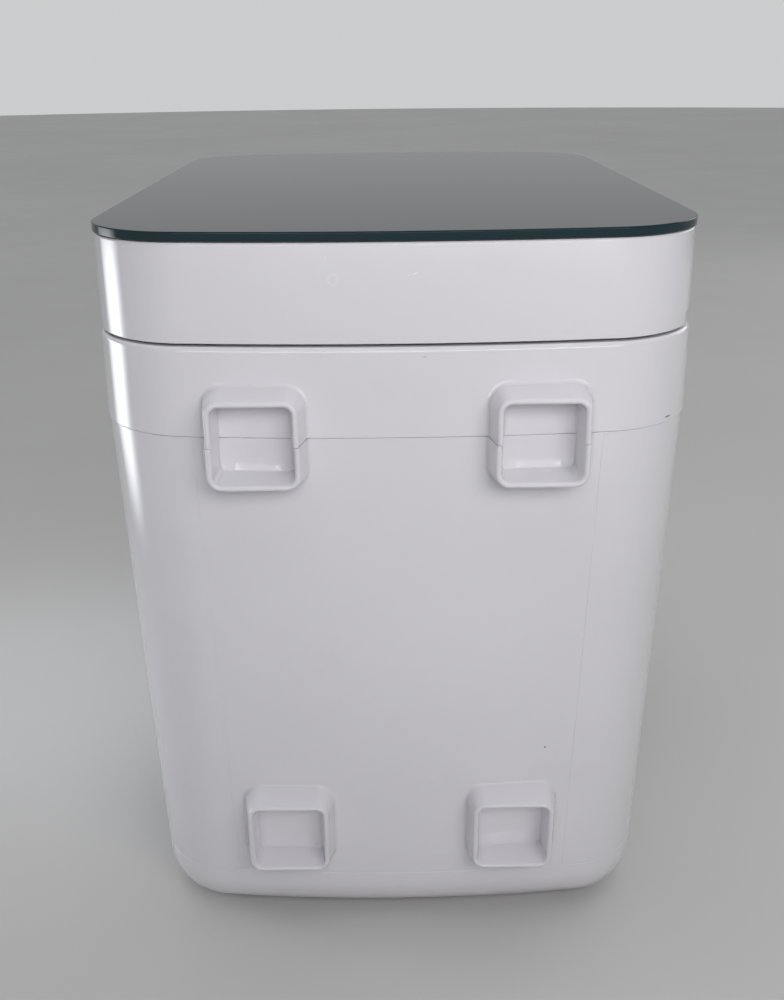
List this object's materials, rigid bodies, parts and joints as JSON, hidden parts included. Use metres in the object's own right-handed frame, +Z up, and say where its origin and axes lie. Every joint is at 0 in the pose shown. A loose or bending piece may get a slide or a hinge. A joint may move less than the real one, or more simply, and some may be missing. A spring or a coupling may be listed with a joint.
{
  "type": "filament dryer box",
  "caption": "Heated dry box for filament spools: drafted white tub, collar and hinged smoked-glass lid, square stand-off loops on one end, rollers, heater and fan inside.",
  "frame": {"origin": "middle of the object's box, on the surface that its feet stand on", "axes": "+Z up, +Y along the box away from the end with the stand-off loops, +X towards the user's side with the display; the lid's hinge runs along Y on the -X side"},
  "size_m": [0.2694, 0.3914, 0.347],
  "materials": {
    "white_shell": "glossy moulded plastic",
    "inner_plastic": "satin moulded plastic",
    "tray_plastic": "satin grey plastic",
    "smoked_glass": "polished smoked tempered glass",
    "smoked_window": "polished smoked plastic",
    "silicone": "soft silicone",
    "rubber": "matte rubber",
    "steel": "drawn steel",
    "screw_steel": "plated steel",
    "roller_plastic": "satin black plastic",
    "black_plastic": "satin black plastic",
    "circuit_board": "lacquered board with parts",
    "heater_aluminium": "folded aluminium fins",
    "button_plastic": "satin light grey plastic"
  },
  "bodies": {
    "base": {"tub": "white_shell", "collar": "white_shell", "base_plate": "inner_plastic", "chamber_floor": "tray_plastic", "hinge_pin_1": "steel", "hinge_pin_2": "steel", "collar_screw_1": "screw_steel", "collar_screw_2": "screw_steel", "collar_screw_3": "screw_steel", "collar_screw_4": "screw_steel", "base_screw_1": "screw_steel", "base_screw_2": "screw_steel", "base_screw_3": "screw_steel", "base_screw_4": "screw_steel", "floor_screw_1": "screw_steel", "floor_screw_2": "screw_steel", "floor_screw_3": "screw_steel", "floor_screw_4": "screw_steel", "foot_1": "rubber", "foot_2": "rubber", "foot_3": "rubber", "foot_4": "rubber", "axle_front": "steel", "axle_rear": "steel", "fan_housing": "black_plastic", "heater_duct": "steel", "heater_core": "heater_aluminium", "power_board": "circuit_board", "control_board": "circuit_board", "humidity_sensor": "black_plastic", "display_module": "black_plastic", "display_window": "smoked_window", "power_inlet": "black_plastic", "outlet_grommet_1": "rubber", "outlet_grommet_2": "rubber", "outlet_grommet_3": "rubber", "outlet_grommet_4": "rubber"},
    "lid": {"glass_top": "smoked_glass", "lid_frame": "white_shell", "lid_liner": "inner_plastic", "lid_gasket": "silicone"},
    "cassette": {"desiccant_tray": "tray_plastic"},
    "cassette_lid": {"desiccant_lid": "inner_plastic"},
    "fan": {"fan_rotor": "black_plastic"},
    "key_down": {"button_down": "button_plastic"},
    "key_power": {"button_power": "button_plastic"},
    "key_up": {"button_up": "button_plastic"},
    "front_roller_1": {"roller_front_1": "roller_plastic"},
    "front_roller_2": {"roller_front_2": "roller_plastic"},
    "front_roller_3": {"roller_front_3": "roller_plastic"},
    "front_roller_4": {"roller_front_4": "roller_plastic"},
    "rear_roller_1": {"roller_rear_1": "roller_plastic"},
    "rear_roller_2": {"roller_rear_2": "roller_plastic"},
    "rear_roller_3": {"roller_rear_3": "roller_plastic"},
    "rear_roller_4": {"roller_rear_4": "roller_plastic"}
  },
  "joints": [
    {"name": "lid_hinge", "type": "hinge", "parent": "base", "child": "lid", "pos_m": [-0.13055, 0.006, 0.3013], "axis": [0, -1, 0], "range_deg": [0, 100]},
    {"name": "cassette_lift", "type": "slide", "parent": "base", "child": "cassette", "axis": [0, 0, 1], "range_m": [0, 0.12]},
    {"name": "cassette_lid_lift", "type": "slide", "parent": "cassette", "child": "cassette_lid", "axis": [0, 0, 1], "range_m": [0, 0.03]},
    {"name": "fan_spin", "type": "hinge", "parent": "base", "child": "fan", "pos_m": [0.01385, 0.101, 0.03], "axis": [0, 0, 1], "continuous": true},
    {"name": "key_down_press", "type": "slide", "parent": "base", "child": "key_down", "axis": [-0.9994, 0, 0.0349], "range_m": [0, 0.0012], "stiffness_N_per_m": 300, "springref_m": -0.0005},
    {"name": "key_power_press", "type": "slide", "parent": "base", "child": "key_power", "axis": [-0.9994, 0, 0.0349], "range_m": [0, 0.0012], "stiffness_N_per_m": 300, "springref_m": -0.0005},
    {"name": "key_up_press", "type": "slide", "parent": "base", "child": "key_up", "axis": [-0.9994, 0, 0.0349], "range_m": [0, 0.0012], "stiffness_N_per_m": 300, "springref_m": -0.0005},
    {"name": "front_roller_1_spin", "type": "hinge", "parent": "base", "child": "front_roller_1", "pos_m": [0.05885, -0.114, 0.124], "axis": [0, 1, 0], "continuous": true},
    {"name": "front_roller_2_spin", "type": "hinge", "parent": "base", "child": "front_roller_2", "pos_m": [0.05885, -0.034, 0.124], "axis": [0, 1, 0], "continuous": true},
    {"name": "front_roller_3_spin", "type": "hinge", "parent": "base", "child": "front_roller_3", "pos_m": [0.05885, 0.046, 0.124], "axis": [0, 1, 0], "continuous": true},
    {"name": "front_roller_4_spin", "type": "hinge", "parent": "base", "child": "front_roller_4", "pos_m": [0.05885, 0.126, 0.124], "axis": [0, 1, 0], "continuous": true},
    {"name": "rear_roller_1_spin", "type": "hinge", "parent": "base", "child": "rear_roller_1", "pos_m": [-0.05115, -0.114, 0.124], "axis": [0, 1, 0], "continuous": true},
    {"name": "rear_roller_2_spin", "type": "hinge", "parent": "base", "child": "rear_roller_2", "pos_m": [-0.05115, -0.034, 0.124], "axis": [0, 1, 0], "continuous": true},
    {"name": "rear_roller_3_spin", "type": "hinge", "parent": "base", "child": "rear_roller_3", "pos_m": [-0.05115, 0.046, 0.124], "axis": [0, 1, 0], "continuous": true},
    {"name": "rear_roller_4_spin", "type": "hinge", "parent": "base", "child": "rear_roller_4", "pos_m": [-0.05115, 0.126, 0.124], "axis": [0, 1, 0], "continuous": true}
  ]
}
